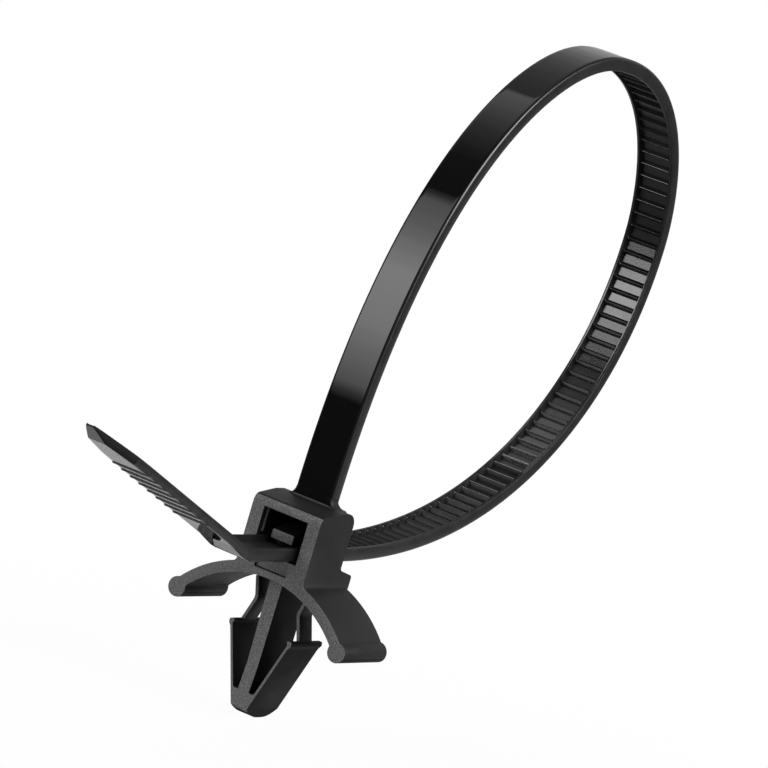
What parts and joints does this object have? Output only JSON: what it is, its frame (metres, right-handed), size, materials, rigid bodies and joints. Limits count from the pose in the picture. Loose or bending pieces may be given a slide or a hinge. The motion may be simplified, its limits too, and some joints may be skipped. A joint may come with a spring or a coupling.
{
  "type": "push mount cable tie",
  "caption": "Black nylon cable tie closed in a loop, with a pawl head, an arched spring wing and a barbed arrowhead that snaps into a panel hole.",
  "frame": {"origin": "on the arrowhead's axis, level with the catches that hold behind the panel", "axes": "+Z out of the panel along the head, X along the wing and across the strap, -Y the way the strap's tail leaves the head"},
  "size_m": [0.0232, 0.1001, 0.0758],
  "materials": {
    "nylon": "black moulded nylon, smooth on the strap, finely grained on the head"
  },
  "bodies": {
    "root": {"cable_tie": "nylon"}
  },
  "joints": []
}
